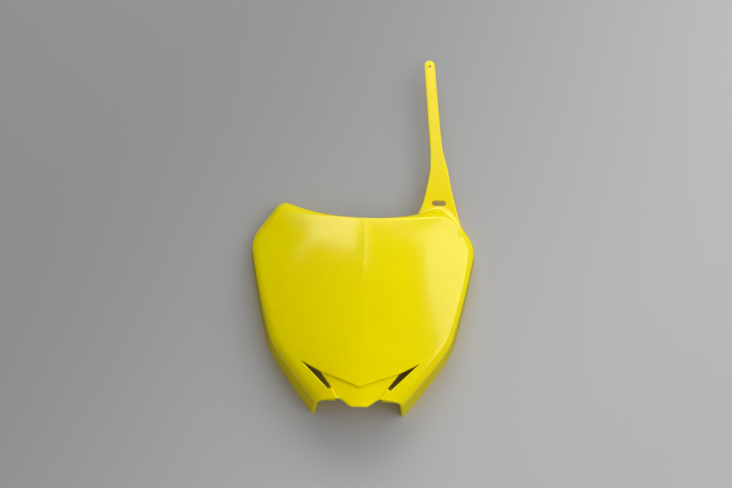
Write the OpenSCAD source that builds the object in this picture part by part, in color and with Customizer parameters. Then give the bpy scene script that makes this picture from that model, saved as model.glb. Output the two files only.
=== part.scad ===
/* [Plate outline] */
// Overall width across the widest corners
plate_w = 230; // [210:1:250]
// Height of the widest corners above the open lower end
wide_y = 184; // [176:1:192]
// Width across the lower side corners
low_corner_w = 184; // [175:1:192]
// Height of the lower side corners above the open lower end
low_corner_y = 66; // [58:1:74]
// Width across the two walls at the open lower end
foot_w = 91; // [83:1:98]
// Width across the two upper corners
top_corner_w = 172; // [164:1:180]
// Height of the upper corners above the open lower end
top_corner_y = 233; // [228:1:238]
// Height of the middle of the top edge above the open lower end
top_mid_y = 201; // [196:1:206]
// Outward bulge of the long side edges
side_bulge = 2; // [0:0.2:4]
// Length of the blend at each side corner
corner_soft = 8; // [4:1:12]
// Length of the blend at each upper corner
corner_cut = 9; // [6:1:12]

/* [Crown] */
// Height of the centre crease at the lower end
crest_low_z = 47; // [44:0.5:50]
// Height of the centre crease half way up
crest_mid_z = 48.5; // [46:0.5:52]
// Height of the centre crease at the top edge
crest_top_z = 40; // [38:0.5:43]
// Height of the face edge at the lower end
edge_foot_z = 34; // [31:0.5:37]
// Height of the face edge at the lower side corners
edge_low_z = 29; // [26:0.5:31]
// Height of the face edge at the widest corners
edge_wide_z = 17; // [15:0.5:20]
// Height of the face edge at the upper corners
edge_top_z = 23; // [21:0.5:25]
// Fall of the face beside the centre crease, in mm for each mm across
crease_slope = 0.05; // [0:0.01:0.07]
// How far up from the lower end the face's stronger curl there fades
curl_run = 22; // [18:1:26]

/* [Wall and bevel] */
// Thickness of the moulding
wall_t = 2.2; // [1.8:0.1:2.6]
// Lean of the side walls, in degrees
draft = 5; // [3:0.5:7]
// Width of the bevel beside the open lower end
bevel_foot_w = 3.5; // [2.5:0.5:5]
// Width of the bevel at the widest corners
bevel_wide_w = 10; // [8:0.5:12]
// Width of the bevel along the top edge, at the upper corners
bevel_top_w = 19; // [16:0.5:21]
// Width of the bevel in the middle of the top edge
bevel_mid_w = 2.5; // [2:0.5:4]
// Fall of the bevel beside the open lower end
bevel_foot_h = 3; // [2:0.5:4]
// Fall of the bevel at the widest corners
bevel_wide_h = 7; // [5:0.5:8]
// Fall of the bevel at the upper corners
bevel_top_h = 12; // [10:0.5:14]
// Fall of the bevel in the middle of the top edge
bevel_mid_h = 2.5; // [2:0.5:4]
// Depth of the flange behind the middle of the top edge
flange_h = 8; // [5:0.5:12]

/* [Tongue and vents] */
// Height of the point of the chevron step above the open lower end
step_y = 10.3; // [8:0.1:13]
// Rise of the chevron step for each mm across
step_slope = 0.46; // [0.4:0.01:0.52]
// Depth of the tongue below the main face
step_z = 1.8; // [1.4:0.1:2]
// How far the tongue reaches past the open lower end
tongue_out = 8.6; // [6:0.2:11]
// Width of the flat end of the tongue
tongue_tip_w = 12; // [8:1:16]
// Width of the tongue where it leaves the open lower end
tongue_root_w = 40; // [36:1:44]
// Half width of the chevron step, out to the vents
step_half_w = 38; // [35:0.5:41]
// Distance of each vent's outer point from the centre
vent_tip_x = 57.5; // [54:0.5:60]
// Height of each vent's outer point above the open lower end
vent_tip_y = 40.5; // [38:0.5:43]
// Distance of each vent's inner end from the centre
vent_end_x = 29.5; // [28:0.5:32]
// Height of each vent's inner end above the open lower end
vent_end_y = 12; // [10:0.2:13]
// Radius of each vent's rounded inner end
vent_end_r = 1.9; // [1.4:0.1:2.4]

/* [Strap] */
// Height of the strap's upper end above the open lower end
strap_top_y = 408; // [370:1:420]
// Width of the strap at its upper end
strap_w = 11.4; // [10:0.2:13]
// Width of the strap where it starts to widen
strap_waist_w = 12.6; // [11:0.2:14]
// Distance of the strap's upper end from the centre
strap_top_x = 66.6; // [62:0.2:70]
// Height at which the strap starts to widen
strap_waist_y = 302; // [290:1:315]
// Distance of the strap from the centre where it starts to widen
strap_waist_x = 74; // [72:0.2:76]
// Width of the strap at its slot
strap_root_w = 33; // [30:0.5:35]
// Width of the strap where it joins the plate
strap_join_w = 43; // [40:0.5:46]
// Width of the strap between the slot and its straight part
strap_neck_w = 20.4; // [18:0.2:22]
// Height of that narrower part above the slot
strap_neck_up = 34.4; // [30:0.2:40]
// Height of the strap's front surface above the rim
strap_z = 19; // [17:0.5:21]
// Thickness of the strap
strap_t = 2.4; // [2:0.1:3]
// Diameter of the hole at the strap's upper end
strap_hole_d = 3; // [2:0.1:4]
// Distance of that hole from the strap's upper end
strap_hole_in = 7.8; // [6.6:0.2:9]
// Overall length of the slot in the strap
slot_l = 14.4; // [10:0.2:16]
// Width of the slot in the strap
slot_w = 6.6; // [5:0.2:8]
// Distance of the slot from the centre
slot_x = 77.6; // [76:0.2:78.4]
// Height of the slot above the open lower end
slot_y = 230.6; // [229:0.2:236]

/* [Lower mounting lugs] */
// Distance between the holes of the two lugs
lug_spacing = 60; // [56:1:64]
// Width of each lug
lug_w = 15; // [13:0.5:17]
// Length of each lug
lug_l = 14; // [13:0.5:16]
// Thickness of each lug
lug_t = 2.4; // [2:0.1:3]
// Drop of each lug below the face
lug_drop = 13; // [11:0.5:15]
// Diameter of the hole in each lug
lug_hole_d = 5.5; // [4.5:0.1:6.5]
// Distance of each lug's front edge behind the open lower end
lug_in = 3; // [2:0.5:5]

/* [Hidden] */

side_rows = 30;
top_rows = 8;
skirt = 3;
below_end = 9;
below_rim = 3;
far = 400;
outline_step = 6;
foot_bulge = 1.5;
upper_bulge = 1.5;
bulge_past_end = -0.3;
top_sweep = 1.7;
crease_sweep = 1.5;
crease_inset = 0.35;
bevel_bow = 0.06;
bevel_inset = 0.7;
least_skew = 0.5;
tongue_sides = 8;
tongue_grid = 12;
sheet_side = 1.1;
sheet_below = 2;
sheet_above = 4;
lug_seat = 0.2;
root_sink = 0.05;
join_below_slot = 16;
root_below_slot = 26;
join_shift = 1.3;
root_stations = 5;
gusset_station = side_rows - 3;

function lerp(a, b, t) = a + (b - a) * t;
function clamp01(t) = max(0, min(1, t));
function smooth(t) = let (s = clamp01(t)) s * s * (3 - 2 * s);
function unit(v) = v / norm(v);

// Smooth curve through [position, value] knots, with no overshoot between them
function chord(k, i) = (k[i + 1][1] - k[i][1]) / (k[i + 1][0] - k[i][0]);
function knot_slope(k, i) = i == 0 ? chord(k, 0)
  : i == len(k) - 1 ? chord(k, i - 1)
  : let (a = chord(k, i - 1), b = chord(k, i)) a * b <= 0 ? 0 : 2 * a * b / (a + b);
function knot_span(k, x, i = 0) = i >= len(k) - 2 || x <= k[i + 1][0] ? i : knot_span(k, x, i + 1);
function through(k, x) = x < k[0][0] ? k[0][1] + chord(k, 0) * (x - k[0][0])
  : x > k[len(k) - 1][0] ? k[len(k) - 1][1] + chord(k, len(k) - 2) * (x - k[len(k) - 1][0])
  : let (
      i = knot_span(k, x),
      w = k[i + 1][0] - k[i][0],
      t = (x - k[i][0]) / w,
      m0 = knot_slope(k, i) * w,
      m1 = knot_slope(k, i + 1) * w
    ) (2 * t * t * t - 3 * t * t + 1) * k[i][1] + (t * t * t - 2 * t * t + t) * m0
      + (3 * t * t - 2 * t * t * t) * k[i + 1][1] + (t * t * t - t * t) * m1;

// Half width of the rim at height y: three bulged edges, blended at the two side corners
low_pt = [low_corner_y, low_corner_w / 2];
wide_pt = [wide_y, plate_w / 2 + corner_soft / 4];
top_pt = [top_corner_y, top_corner_w / 2];
function edge_x(a, b, bulge, y) = let (t = (y - a[0]) / (b[0] - a[0]))
  lerp(a[1], b[1], t) + 4 * bulge * max(bulge_past_end, t * (1 - t));
function soft_min(a, b, k) = let (h = clamp01(0.5 + 0.5 * (b - a) / k)) lerp(b, a, h) - k * h * (1 - h);
function half_w(y) = soft_min(
  soft_min(edge_x([0, foot_w / 2], low_pt, foot_bulge, y), edge_x(low_pt, wide_pt, side_bulge, y), corner_soft / 2),
  edge_x(wide_pt, top_pt, upper_bulge, y), corner_soft);

// Height of the top edge at distance x from the centre
function top_y(x) = lerp(top_mid_y, top_corner_y, pow(abs(x) / (top_corner_w / 2), top_sweep));

// The face's edge crease in plan: up the side to its corner, then along the top
crease_corner_y = top_corner_y - bevel_top_w;
function lean(edge_z, fall) = tan(draft) * (edge_z - fall);
side_in = [[0, bevel_foot_w + lean(edge_foot_z, bevel_foot_h)], [wide_y, bevel_wide_w + lean(edge_wide_z, bevel_wide_h)]];
function crease_x(y) = half_w(y) - through(side_in, min(y, wide_y));
crease_corner_x = crease_x(crease_corner_y);
function crease_y(x) = lerp(top_mid_y - bevel_mid_w, crease_corner_y, pow(abs(x) / crease_corner_x, crease_sweep));

// Stations run from below the lower end up the side, round the corner and in to the centre
last = side_rows + top_rows;
function side_share(i) = clamp01((lerp(-below_end, crease_corner_y, i / side_rows) - wide_y)
  / (crease_corner_y - wide_y));
function crease_pt(i) = i <= side_rows
  ? let (y = lerp(-below_end, crease_corner_y, i / side_rows)) [crease_x(y), y]
  : let (x = crease_corner_x * (last - i) / top_rows) [x, crease_y(x)];
upper_corner = [top_corner_w / 2, top_corner_y];
function rim_raw(i) = i < side_rows
  ? let (y = crease_pt(i)[1] + bevel_top_w * smooth(side_share(i))) [half_w(y), y]
  : let (x = upper_corner[0] * (last - i) / top_rows) [x, top_y(x)];
side_from = upper_corner + corner_cut * unit([half_w(top_corner_y - corner_cut), top_corner_y - corner_cut] - upper_corner);
top_from = upper_corner + corner_cut * unit([top_corner_w / 2 - corner_cut, top_y(top_corner_w / 2 - corner_cut)] - upper_corner);
function bend(a, c, b, t) = (1 - t) * (1 - t) * a + 2 * t * (1 - t) * c + t * t * b;
function rounded(p, turn_way) = let (d = norm(p - upper_corner) / corner_cut)
  d >= 1 ? p : bend(side_from, upper_corner, top_from, 0.5 + 0.5 * turn_way * d);
function rim_pt(i) = rounded(rim_raw(i), i < side_rows ? -1 : 1);

// Height of the crowned face, with its centre crease
function crest_z(y) = let (s = y / (top_mid_y / 2) - 1)
  crest_mid_z - (crest_mid_z - (s > 0 ? crest_top_z : crest_low_z)) * s * s;
function fall_rate(y, edge_half_w, edge_z) =
  (crest_z(y) - crease_slope * edge_half_w - edge_z) / (edge_half_w * edge_half_w);
crown = [
  [low_corner_y, fall_rate(low_corner_y, low_corner_w / 2 - bevel_foot_w, edge_low_z)],
  [wide_y, fall_rate(wide_y, plate_w / 2 - bevel_wide_w, edge_wide_z)],
  [crease_corner_y, fall_rate(crease_corner_y, top_corner_w / 2, edge_top_z)]
];
foot_curl = fall_rate(0, foot_w / 2 - bevel_foot_w, edge_foot_z) - through(crown, 0);
function face_z(p) = crest_z(p[1]) - crease_slope * abs(p[0])
  - (through(crown, p[1]) + foot_curl * exp(-p[1] / curl_run)) * p[0] * p[0];

// Fall of the bevel at each station, and the height of the wall's lower edge
function top_share(i) = i < side_rows ? 1 : (last - i) / top_rows;
side_fall = [[0, bevel_foot_h], [wide_y, bevel_wide_h], [crease_corner_y, bevel_top_h]];
function bevel_h(i) = i < side_rows ? through(side_fall, crease_pt(i)[1])
  : lerp(bevel_mid_h, bevel_top_h, top_share(i));
mid_rim_z = crest_top_z - bevel_mid_h - flange_h;
function rim_z(i) = lerp(-below_rim, mid_rim_z, smooth(1 - top_share(i)));

// One rib of the skirt, t inside its outer face: crease, middle of the bevel, lower line, rim
function at(p, z) = [p[0], p[1], z];
function rib(i, t) = let (
    crease = crease_pt(i),
    rim = rim_pt(i),
    out = unit(rim - crease),
    along = unit(rim_pt(min(last, i + 1)) - rim_pt(max(0, i - 1))),
    z = face_z(crease),
    low = rim - out * tan(draft) * (z - bevel_h(i) - rim_z(i)),
    bow = bevel_bow * norm(low - crease),
    side_t = t / max(least_skew, abs(out[0] * along[1] - out[1] * along[0]))
  ) [
    at(crease - out * t * crease_inset, z - t),
    at(lerp(crease, low, 1 / 2) + out * (bow - bevel_inset * t), z - bevel_h(i) / 2 + bow - bevel_inset * t),
    at(low - out * side_t, z - bevel_h(i) - crease_inset * t),
    at(rim - out * side_t, rim_z(i))
  ];

// Face row i, from the centre out to its edge
function face_row(i, t) = let (
    edge = rib(i, t)[0],
    row_end = rib(side_rows, t)[0],
    tops = [for (j = [0:top_rows]) rib(last - j, t)[0]],
    low_y = -below_end,
    mid_y = low_y + (edge[1] - low_y) * (tops[0][1] - low_y) / (row_end[1] - low_y)
  ) [
    for (j = [0:top_rows]) let (s = tops[j][0] / row_end[0])
      i == side_rows ? tops[j]
      : let (p = [edge[0] * s, lerp(mid_y, edge[1], s * s)]) at(p, face_z(p) - t)
  ];
function mirror_x(p) = [-p[0], p[1], p[2]];

// One surface of the moulding, t inside its outer face: rows across, then the ribs along the top
reach = top_rows + skirt;
span = 2 * reach + 1;
top_span = 2 * top_rows - 1;
function full_row(i, t) = let (
    face = face_row(i, t),
    ribs = rib(i, t),
    half = [for (j = [0:top_rows]) face[j], for (k = [1:skirt]) ribs[k]]
  ) [for (c = [-reach:reach]) c < 0 ? mirror_x(half[-c]) : half[c]];
function top_ring(k, t) = [
  for (j = [1 - top_rows:top_rows - 1]) let (p = rib(last - abs(j), t)[k]) j < 0 ? mirror_x(p) : p
];
function skin(t) = concat(
  [for (i = [0:side_rows]) each full_row(i, t)],
  [for (k = [1:skirt]) each top_ring(k, t)]
);
function id(i, c) = i * span + c + reach;
function top_id(k, j) = k == 0 ? id(side_rows, j)
  : abs(j) == top_rows ? id(side_rows, sign(j) * (top_rows + k))
  : (side_rows + 1) * span + (k - 1) * top_span + j + top_rows - 1;
function two(a, b, c, d, flip) = flip ? [[a, b, d], [b, c, d]] : [[a, b, c], [a, c, d]];
skin_faces = concat(
  [for (i = [0:side_rows - 1], c = [-reach:reach - 1])
    each two(id(i, c), id(i + 1, c), id(i + 1, c + 1), id(i, c + 1), c < 0)],
  [for (k = [0:skirt - 1], j = [-top_rows:top_rows - 1])
    each two(top_id(k, j), top_id(k + 1, j), top_id(k + 1, j + 1), top_id(k, j + 1), j < 0)]
);
border = concat(
  [for (i = [0:side_rows]) id(i, reach)],
  [for (j = [top_rows - 1:-1:1 - top_rows]) top_id(skirt, j)],
  [for (i = [side_rows:-1:0]) id(i, -reach)],
  [for (c = [1 - reach:reach - 1]) id(0, c)]
);

module moulding() {
  outer = skin(0);
  inner = skin(wall_t);
  n = len(outer);
  m = len(border);
  polyhedron(
    points = concat(outer, inner),
    faces = concat(
      skin_faces,
      [for (f = skin_faces) [f[2] + n, f[1] + n, f[0] + n]],
      [for (k = [0:m - 1]) let (a = border[k], b = border[(k + 1) % m])
        each two(a, b, b + n, a + n, false)]
    )
  );
}

// Points on the two sides of the tongue and of the vents, in plan
vent_tip = [vent_tip_x, vent_tip_y];
vent_top = [step_half_w, step_y + step_slope * step_half_w];
vent_end = [vent_end_x, vent_end_y];
function tongue_side(s) = [
  lerp(tongue_root_w, tongue_tip_w, s) / 2,
  -tongue_out * smooth(s)
];
tongue_half = concat(
  [[0, step_y], vent_top, vent_end + [-vent_end_r, 0]],
  [for (k = [0:tongue_sides]) tongue_side(k / tongue_sides)]
);
module both_sides() {
  children();
  mirror([1, 0, 0]) children();
}
module tongue_plan() {
  both_sides() polygon(concat(tongue_half, [[0, -tongue_out]]));
}
module vent_plan() {
  across = unit([vent_top[1] - vent_end[1], vent_end[0] - vent_top[0]]);
  polygon([vent_tip, vent_top, vent_end - vent_end_r * across, vent_end + vent_end_r * across]);
  translate(vent_end) circle(r = vent_end_r, $fn = 24);
}

// The recessed tongue, a sheet that follows the face one step lower
function tongue_pt(i, j, t) = let (
    p = [lerp(-step_half_w, step_half_w, i / tongue_grid) * sheet_side,
      lerp(-tongue_out - sheet_below, vent_top[1] + sheet_above, j / tongue_grid)]
  ) at(p, face_z(p) - step_z - t);
module tongue_sheet() {
  g = tongue_grid + 1;
  pts = [for (t = [0, wall_t], j = [0:tongue_grid], i = [0:tongue_grid]) tongue_pt(i, j, t)];
  n = g * g;
  quads = [for (j = [0:tongue_grid - 1], i = [0:tongue_grid - 1])
    [i + j * g, i + (j + 1) * g, i + 1 + (j + 1) * g, i + 1 + j * g]];
  tri = [for (q = quads) each two(q[0], q[1], q[2], q[3], q[0] % g < tongue_grid / 2)];
  ring = concat(
    [for (i = [0:tongue_grid - 1]) i],
    [for (j = [0:tongue_grid - 1]) tongue_grid + j * g],
    [for (i = [tongue_grid:-1:1]) i + tongue_grid * g],
    [for (j = [tongue_grid:-1:1]) j * g]
  );
  m = len(ring);
  polyhedron(points = pts, faces = concat(
    tri,
    [for (f = tri) [f[2] + n, f[1] + n, f[0] + n]],
    [for (k = [0:m - 1]) let (a = ring[k], b = ring[(k + 1) % m]) each two(a, b, b + n, a + n, false)]
  ));
}
module tongue() {
  intersection() {
    tongue_sheet();
    translate([0, 0, -below_rim]) linear_extrude(far) {
      tongue_plan();
      intersection() {
        offset(delta = wall_t) tongue_plan();
        translate([-far / 2, 0]) square(far);
      }
    }
  }
}

// Strap outline, from a centre line and a width that change with height
strap_tip_y = strap_top_y - strap_w / 2;
join_y = slot_y - join_below_slot;
neck_y = slot_y + strap_neck_up;
strap_mid = [[join_y, slot_x - join_shift], [slot_y, slot_x], [neck_y, slot_x],
  [strap_waist_y, strap_waist_x], [strap_tip_y, strap_top_x]];
strap_wide = [[join_y, strap_join_w], [slot_y, strap_root_w], [neck_y, strap_neck_w],
  [strap_waist_y, strap_waist_w], [strap_tip_y, strap_w]];
strap_steps = ceil((strap_tip_y - slot_y) / outline_step);
function strap_side(s, y) = [through(strap_mid, y) + s * through(strap_wide, y) / 2, y];
module strap_plan() {
  root_y = slot_y - root_below_slot;
  polygon([
    root_pt(gusset_station),
    for (i = [0:strap_steps]) strap_side(1, lerp(root_y, strap_tip_y, i / strap_steps)),
    for (i = [strap_steps:-1:0]) strap_side(-1, lerp(root_y, strap_tip_y, i / strap_steps))
  ]);
  translate([strap_top_x, strap_tip_y]) circle(d = strap_w, $fn = 32);
}
// What the strap leaves free: the plate inside the line where its bevel falls to the strap
function root_pt(i) = let (
    crease = crease_pt(i),
    rim = rim_pt(i),
    z = face_z(crease),
    low = rim - unit(rim - crease) * tan(draft) * (z - bevel_h(i) - rim_z(i))
  ) lerp(crease, low, clamp01((z - strap_z) / bevel_h(i) - root_sink));
module inside_plan() {
  polygon(concat([for (i = [side_rows - root_stations:last]) root_pt(i)], [[0, 0], [plate_w / 4, 0]]));
}
module strap() {
  difference() {
    translate([0, 0, strap_z - strap_t]) linear_extrude(strap_t) difference() {
      strap_plan();
      inside_plan();
    }
    translate([strap_top_x, strap_top_y - strap_hole_in, 0]) cylinder(d = strap_hole_d, h = far, $fn = 32);
    strap_slot();
  }
}
module strap_slot() {
  run = slot_l - slot_w;
  translate([slot_x, slot_y, 0]) {
    translate([-run / 2, -slot_w / 2, 0]) cube([run, slot_w, far]);
    for (s = [-1, 1]) translate([s * run / 2, 0, 0]) cylinder(d = slot_w, h = far, $fn = 32);
  }
}

// Lug behind the face: a plate with a hole, hung from the face by a web at its inner end
module lug() {
  inner_x = lug_spacing / 2 - lug_w / 2;
  web_top = face_z([inner_x + lug_t, lug_in]) - step_z - lug_seat;
  plate_z = web_top - lug_drop;
  difference() {
    translate([inner_x, lug_in, plate_z]) {
      cube([lug_w, lug_l, lug_t]);
      cube([lug_t, lug_l, lug_drop]);
    }
    translate([lug_spacing / 2, lug_in + lug_l / 2, 0])
      cylinder(d = lug_hole_d, h = far, $fn = 40);
  }
}

module number_board() color("yellow") translate([0, (tongue_out - strap_top_y) / 2, 0]) {
  difference() {
    moulding();
    translate([-far / 2, -far, -far / 2]) cube([far, far, far]);
    translate([-far / 2, -far / 2, -far]) cube([far, far * 2, far]);
    linear_extrude(far) {
      tongue_plan();
      both_sides() vent_plan();
    }
  }
  difference() {
    tongue();
    linear_extrude(far) both_sides() vent_plan();
  }
  strap();
  both_sides() lug();
}

number_board();
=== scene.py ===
"""Racing number board: the dressed moulding, with its floor, lights and camera.

Sizes are millimetres in the plate's own plan: the open lower end at y = 0, the rear rim at z = 0
and the centre crease at x = 0. to_frame() turns them to metres in the shared frame.
"""
import logging
import math
from dataclasses import dataclass, field
from enum import Enum
from typing import Any, Callable, Optional, Sequence

import bpy
import numpy as np
from mathutils import Matrix, Vector
from mathutils.bvhtree import BVHTree
from mathutils.geometry import delaunay_2d_cdt


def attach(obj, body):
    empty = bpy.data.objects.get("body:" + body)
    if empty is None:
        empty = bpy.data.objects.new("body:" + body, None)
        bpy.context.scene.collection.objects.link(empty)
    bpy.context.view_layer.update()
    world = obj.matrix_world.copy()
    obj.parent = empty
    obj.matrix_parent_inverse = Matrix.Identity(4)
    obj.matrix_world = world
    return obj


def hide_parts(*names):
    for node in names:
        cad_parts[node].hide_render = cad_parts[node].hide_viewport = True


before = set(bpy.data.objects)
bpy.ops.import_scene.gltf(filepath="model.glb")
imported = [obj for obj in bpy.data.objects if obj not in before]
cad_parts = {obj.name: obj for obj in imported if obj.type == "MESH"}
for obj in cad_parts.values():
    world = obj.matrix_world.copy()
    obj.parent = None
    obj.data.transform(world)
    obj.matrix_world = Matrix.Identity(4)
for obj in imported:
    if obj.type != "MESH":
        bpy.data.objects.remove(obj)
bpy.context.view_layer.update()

LOG = logging.getLogger("number_board")
MM = 0.001
NODE = "number_board"
BODY = "root"
# Share of a blend's span that its two middle points reach in from its ends
BLEND_REACH = 0.37
# Rows of points across a rounded edge, as shares of its radius
ROUND_AT = (0.12, 0.45, 1.0)

Knots = Sequence[tuple[float, float]]
Point = tuple[float, float, float]
Plan = tuple[float, float]
Curve = Callable[[float], float]
HeightOf = Callable[[float, float], float]


class Finish(Enum):
    """The finishes in the scene."""

    MOULDING = "polypropylene_moulded_gloss"
    FLOOR = "studio_paper_matt"
    SOFTBOX = "softbox_cloth_lit"


# Numbers and curves

def lerp(a: float, b: float, t: float) -> float:
    """Returns the value a share t of the way from a to b."""
    return a + (b - a) * t


def clamp01(t: float) -> float:
    """Returns t, held between 0 and 1."""
    return max(0.0, min(1.0, t))


def smooth(t: float) -> float:
    """Returns an S-curve of t from 0 to 1."""
    s = clamp01(t)
    return s * s * (3 - 2 * s)


def soft_min(a: float, b: float, k: float) -> float:
    """Returns the smaller of a and b, blended over the length k."""
    h = clamp01(0.5 + 0.5 * (b - a) / k)
    return lerp(b, a, h) - k * h * (1 - h)


def soft_max(a: float, b: float, k: float) -> float:
    """Returns the larger of a and b, blended over the length k."""
    return -soft_min(-a, -b, k)


def chord(k: Knots, i: int) -> float:
    """Returns the slope from knot i to the next one."""
    return (k[i + 1][1] - k[i][1]) / (k[i + 1][0] - k[i][0])


def knot_slope(k: Knots, i: int) -> float:
    """Returns the slope of the smooth curve at knot i."""
    if i == 0:
        return chord(k, 0)
    if i == len(k) - 1:
        return chord(k, i - 1)
    a, b = chord(k, i - 1), chord(k, i)
    return 0.0 if a * b <= 0 else 2 * a * b / (a + b)


def hermite(a: float, slope_a: float, b: float, slope_b: float, t: float) -> float:
    """Returns the cubic from a to b a share t of the way, with its slopes at both ends."""
    return ((2 * t**3 - 3 * t * t + 1) * a + (t**3 - 2 * t * t + t) * slope_a
            + (3 * t * t - 2 * t**3) * b + (t**3 - t * t) * slope_b)


def through(k: Knots, x: float) -> float:
    """Follows a smooth curve through knots, with no overshoot between them.

    Args:
        k: Knots of place and value, in order.
        x: The place to read.

    Returns:
        The curve's value at x, carried on straight past its ends.
    """
    if x < k[0][0]:
        return k[0][1] + chord(k, 0) * (x - k[0][0])
    if x > k[-1][0]:
        return k[-1][1] + chord(k, len(k) - 2) * (x - k[-1][0])
    i = 0
    while i < len(k) - 2 and x > k[i + 1][0]:
        i += 1
    w = k[i + 1][0] - k[i][0]
    return hermite(k[i][1], knot_slope(k, i) * w, k[i + 1][1], knot_slope(k, i + 1) * w,
                   (x - k[i][0]) / w)


def blend(a: Vector, way_a: Vector, b: Vector, way_b: Vector, steps: int) -> list[Vector]:
    """Rounds a corner with a cubic curve.

    Args:
        a: Where the curve starts.
        way_a: Direction at the start.
        b: Where the curve ends.
        way_b: Direction at the end.
        steps: Spans on the curve.

    Returns:
        The points after a, the last one b.
    """
    reach = (b - a).length * BLEND_REACH
    p1, p2 = a + way_a.normalized() * reach, b - way_b.normalized() * reach
    out = []
    for i in range(1, steps + 1):
        t = i / steps
        s = 1 - t
        out.append(a * s**3 + p1 * (3 * s * s * t) + p2 * (3 * s * t * t) + b * t**3)
    return out


def mirror(p: Sequence[float]) -> Point:
    """Returns the point on the other side of the centre crease."""
    return (-p[0], p[1], p[2])


def lifted(p: Vector, z: float) -> Vector:
    """Returns a plan point at height z."""
    return p.to_3d() + Vector((0, 0, z))


@dataclass(frozen=True)
class PlateForm:
    """Sizes of the plate, and the curves that give its outline and its crowned face.

    strap_top_y and tongue_out are the solid's own and only place the shared frame. The crest here,
    and the tongue and the strap as drawn below, end up to 0.02 mm sooner, so that the dressed mesh
    stays inside the solid's box.
    """

    plate_w: float = 230.0
    wide_y: float = 184.0
    low_corner_w: float = 184.0
    low_corner_y: float = 66.0
    foot_w: float = 91.0
    top_corner_w: float = 172.0
    top_corner_y: float = 233.0
    top_mid_y: float = 201.0
    side_bulge: float = 2.0
    foot_bulge: float = 1.5
    upper_bulge: float = 1.5
    bulge_past_end: float = -0.3
    corner_soft: float = 8.0
    corner_cut: float = 9.0
    top_sweep: float = 1.7
    crease_sweep: float = 1.5
    crest_low_z: float = 47.0
    crest_mid_z: float = 48.498
    crest_top_z: float = 40.0
    edge_foot_z: float = 34.0
    edge_low_z: float = 29.0
    edge_wide_z: float = 17.0
    edge_top_z: float = 23.0
    crease_slope: float = 0.05
    crease_soft: float = 1.6
    curl_run: float = 22.0
    wall_t: float = 2.2
    draft: float = 5.0
    bevel_foot_w: float = 3.5
    bevel_wide_w: float = 10.0
    bevel_top_w: float = 19.0
    bevel_mid_w: float = 2.5
    bevel_foot_h: float = 3.0
    bevel_wide_h: float = 7.0
    bevel_top_h: float = 12.0
    bevel_mid_h: float = 2.5
    flange_h: float = 8.0
    bevel_bow: float = 0.06
    below_rim: float = 3.0
    strap_top_y: float = 408.0
    tongue_out: float = 8.6

    @property
    def low_pt(self) -> Plan:
        """Lower side corner in plan, as height and half width."""
        return (self.low_corner_y, self.low_corner_w / 2)

    @property
    def wide_pt(self) -> Plan:
        """Widest corner before it is rounded, as height and half width."""
        return (self.wide_y, self.plate_w / 2 + self.corner_soft / 4)

    @property
    def top_pt(self) -> Plan:
        """Upper corner, as height and half width."""
        return (self.top_corner_y, self.top_corner_w / 2)

    @property
    def crease_corner_y(self) -> float:
        """Height of the face's upper corners."""
        return self.top_corner_y - self.bevel_top_w

    @property
    def crease_corner_x(self) -> float:
        """Distance of the face's upper corners from the centre."""
        return self.crease_x(self.crease_corner_y)

    def edge_x(self, a: Plan, b: Plan, bulge: float, y: float) -> float:
        """Returns the half width at height y on one bulged edge from a to b."""
        t = (y - a[0]) / (b[0] - a[0])
        return lerp(a[1], b[1], t) + 4 * bulge * max(self.bulge_past_end, t * (1 - t))

    def half_w(self, y: float) -> float:
        """Returns the half width of the rim at height y."""
        foot = self.edge_x((0.0, self.foot_w / 2), self.low_pt, self.foot_bulge, y)
        side = self.edge_x(self.low_pt, self.wide_pt, self.side_bulge, y)
        upper = self.edge_x(self.wide_pt, self.top_pt, self.upper_bulge, y)
        return soft_min(soft_min(foot, side, self.corner_soft / 2), upper, self.corner_soft)

    def top_y(self, x: float) -> float:
        """Returns the height of the top edge at distance x from the centre."""
        share = abs(x) / (self.top_corner_w / 2)
        return lerp(self.top_mid_y, self.top_corner_y, share**self.top_sweep)

    def lean(self, edge_z: float, fall: float) -> float:
        """Returns how far the wall leans in above its rim, under an edge at edge_z."""
        return math.tan(math.radians(self.draft)) * (edge_z - fall)

    def crease_x(self, y: float) -> float:
        """Returns the half width of the face at height y."""
        foot_in = self.bevel_foot_w + self.lean(self.edge_foot_z, self.bevel_foot_h)
        wide_in = self.bevel_wide_w + self.lean(self.edge_wide_z, self.bevel_wide_h)
        side_in = ((0.0, foot_in), (self.wide_y, wide_in))
        return self.half_w(y) - through(side_in, min(y, self.wide_y))

    def crease_y(self, x: float) -> float:
        """Returns the height of the face's top edge at distance x from the centre."""
        share = (abs(x) / self.crease_corner_x)**self.crease_sweep
        return lerp(self.top_mid_y - self.bevel_mid_w, self.crease_corner_y, share)

    def crest_z(self, y: float) -> float:
        """Returns the height of the centre crease above the rim."""
        s = y / (self.top_mid_y / 2) - 1
        end = self.crest_top_z if s > 0 else self.crest_low_z
        return self.crest_mid_z - (self.crest_mid_z - end) * s * s

    def fall_rate(self, y: float, edge_half_w: float, edge_z: float) -> float:
        """Returns how strongly the face falls to reach edge_z at its edge."""
        return (self.crest_z(y) - self.crease_slope * edge_half_w - edge_z) / edge_half_w**2

    def crown(self, y: float) -> float:
        """Returns the strength of the face's crown at height y."""
        edges = (
            (self.low_corner_y, self.low_corner_w / 2 - self.bevel_foot_w, self.edge_low_z),
            (self.wide_y, self.plate_w / 2 - self.bevel_wide_w, self.edge_wide_z),
            (self.crease_corner_y, self.top_corner_w / 2, self.edge_top_z),
        )
        knots = [(at_y, self.fall_rate(at_y, half_w, z)) for at_y, half_w, z in edges]
        foot_w = self.foot_w / 2 - self.bevel_foot_w
        curl = self.fall_rate(0.0, foot_w, self.edge_foot_z) - through(knots, 0.0)
        return through(knots, y) + curl * math.exp(-y / self.curl_run)

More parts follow.
